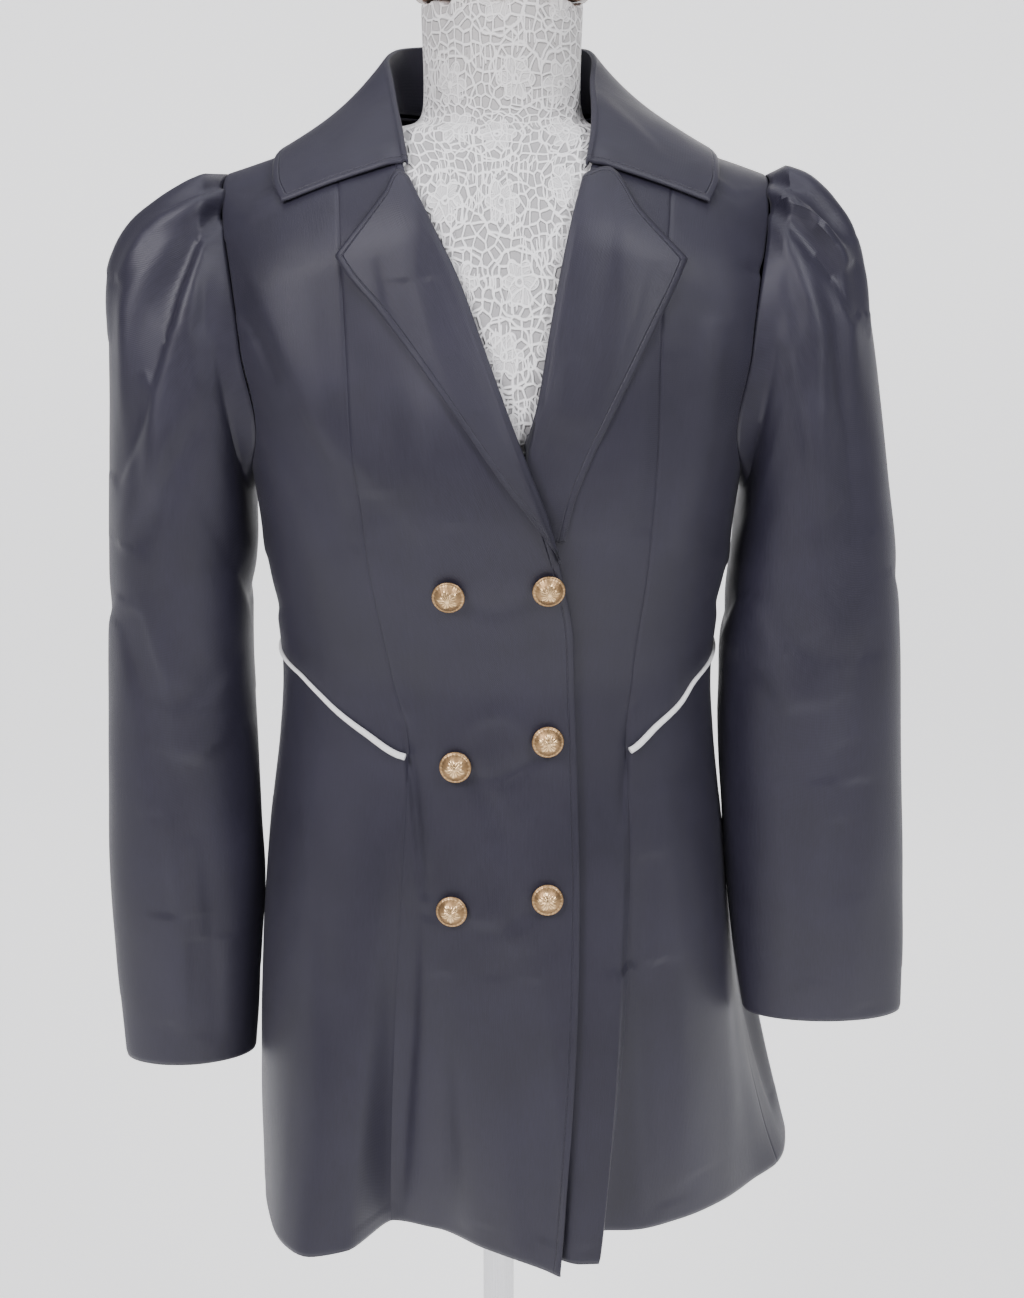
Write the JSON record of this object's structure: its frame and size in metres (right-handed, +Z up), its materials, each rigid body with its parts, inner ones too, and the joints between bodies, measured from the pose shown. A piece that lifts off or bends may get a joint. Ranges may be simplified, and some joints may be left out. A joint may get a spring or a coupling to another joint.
{
  "type": "longline jacket on a dress form",
  "caption": "Fitted longline double-breasted jacket with puff sleeves, notched collar and flared skirt, on a limbless dress form with a pole and round base.",
  "frame": {"origin": "centre of the underside of the round base, on the floor", "axes": "+Z up, the jacket's front faces -Y, +X is the wearer's left"},
  "size_m": [0.606, 0.3252, 1.4963],
  "materials": {
    "jacket_cloth": "dark navy suiting with a soft sheen",
    "piping": "white corded piping",
    "gilt_metal": "pale gilt, domed, lightly polished",
    "form_cover": "white lace over white jersey",
    "cap_wood": "stained wood, satin",
    "pole_metal": "polished steel tube",
    "base_white": "white powder coat"
  },
  "bodies": {
    "root": {"front_right": "jacket_cloth", "front_left": "jacket_cloth", "side_front_bodice_right": "jacket_cloth", "side_front_bodice_left": "jacket_cloth", "side_back_bodice_right": "jacket_cloth", "side_back_bodice_left": "jacket_cloth", "side_front_skirt_right": "jacket_cloth", "side_front_skirt_left": "jacket_cloth", "side_back_skirt_right": "jacket_cloth", "side_back_skirt_left": "jacket_cloth", "back_right": "jacket_cloth", "back_left": "jacket_cloth", "sleeve_right": "jacket_cloth", "sleeve_left": "jacket_cloth", "lapel_right": "jacket_cloth", "lapel_left": "jacket_cloth", "collar": "jacket_cloth", "piping_right": "piping", "piping_left": "piping", "button_1": "gilt_metal", "button_2": "gilt_metal", "button_3": "gilt_metal", "button_4": "gilt_metal", "button_5": "gilt_metal", "button_6": "gilt_metal", "form_torso": "form_cover", "form_neck_cap": "cap_wood", "form_pole": "pole_metal", "form_base": "base_white"}
  },
  "joints": []
}
